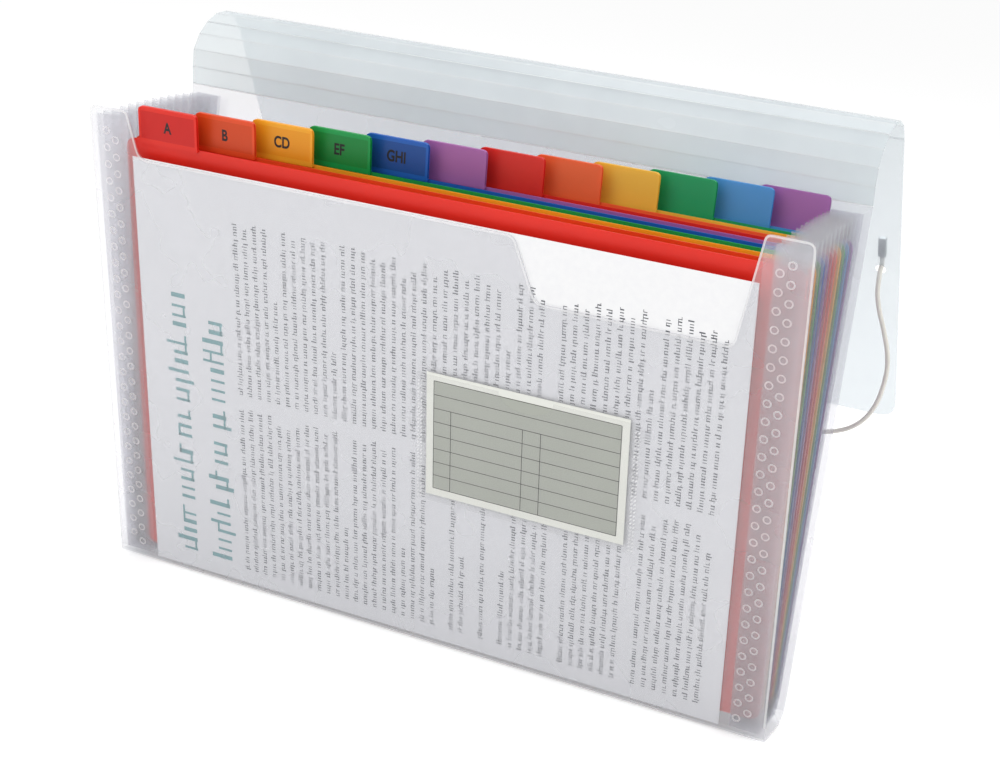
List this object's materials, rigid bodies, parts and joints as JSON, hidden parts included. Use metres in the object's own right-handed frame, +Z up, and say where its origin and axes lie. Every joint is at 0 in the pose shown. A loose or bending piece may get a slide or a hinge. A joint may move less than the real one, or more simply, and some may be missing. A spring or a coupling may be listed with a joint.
{
  "type": "expanding file folder",
  "caption": "A4 expanding file of frosted plastic standing open like a fan, with coloured tabbed dividers, pleated film sides and its elastic-cord flap thrown back over the rear.",
  "frame": {"origin": "centre of the underside of the flat base", "axes": "+X to the right along the folder's width, -Y out of the front panel, +Z up"},
  "size_m": [0.3482, 0.206, 0.2674],
  "materials": {
    "frosted_sheet": "frosted, translucent polypropylene with a fine grain",
    "clear_film": "thin, nearly clear polypropylene film",
    "sheet_red": "dyed polypropylene sheet, satin",
    "sheet_orange": "dyed polypropylene sheet, satin",
    "sheet_yellow": "dyed polypropylene sheet, satin",
    "sheet_green": "dyed polypropylene sheet, satin",
    "sheet_blue": "dyed polypropylene sheet, satin",
    "sheet_purple": "dyed polypropylene sheet, satin",
    "slip_paper": "smooth white slips",
    "document_paper": "smooth white office paper with plain grey and teal bars",
    "card": "thin card with a ruled table",
    "elastic": "off-white round elastic with a woven cover",
    "clip_steel": "crimped steel end clip"
  },
  "bodies": {
    "folder": {"cover": "frosted_sheet", "gusset_left": "clear_film", "gusset_right": "clear_film", "divider_01_red": "sheet_red", "divider_02_orange": "sheet_orange", "divider_03_yellow": "sheet_yellow", "divider_04_green": "sheet_green", "divider_05_blue": "sheet_blue", "divider_06_purple": "sheet_purple", "divider_07_red": "sheet_red", "divider_08_orange": "sheet_orange", "divider_09_yellow": "sheet_yellow", "divider_10_green": "sheet_green", "divider_11_blue": "sheet_blue", "divider_12_purple": "sheet_purple", "index_label_01": "slip_paper", "index_label_02": "slip_paper", "index_label_03": "slip_paper", "index_label_04": "slip_paper", "index_label_05": "slip_paper", "index_label_06": "slip_paper", "index_label_07": "slip_paper", "index_label_08": "slip_paper", "index_label_09": "slip_paper", "index_label_10": "slip_paper", "index_label_11": "slip_paper", "index_label_12": "slip_paper", "document_sheet": "document_paper", "label_pocket": "clear_film", "label_card": "card"},
    "spine_low": {"spine_lower": "frosted_sheet"},
    "spine_high": {"spine_upper": "frosted_sheet"},
    "flap": {"closing_flap": "frosted_sheet", "cord_tag_left": "clip_steel", "cord_tag_right": "clip_steel", "elastic_cord": "elastic"}
  },
  "joints": [
    {"name": "rear_crease", "type": "hinge", "parent": "folder", "child": "spine_low", "pos_m": [0, 0.02254, 0.23321], "axis": [1, 0, 0], "range_deg": [0, 36]},
    {"name": "middle_crease", "type": "hinge", "parent": "spine_low", "child": "spine_high", "pos_m": [0, 0.03172, 0.2628], "axis": [1, 0, 0], "range_deg": [0, 90]},
    {"name": "flap_crease", "type": "hinge", "parent": "spine_high", "child": "flap", "pos_m": [0, 0.0613, 0.25823], "axis": [1, 0, 0], "range_deg": [0, 142]}
  ]
}
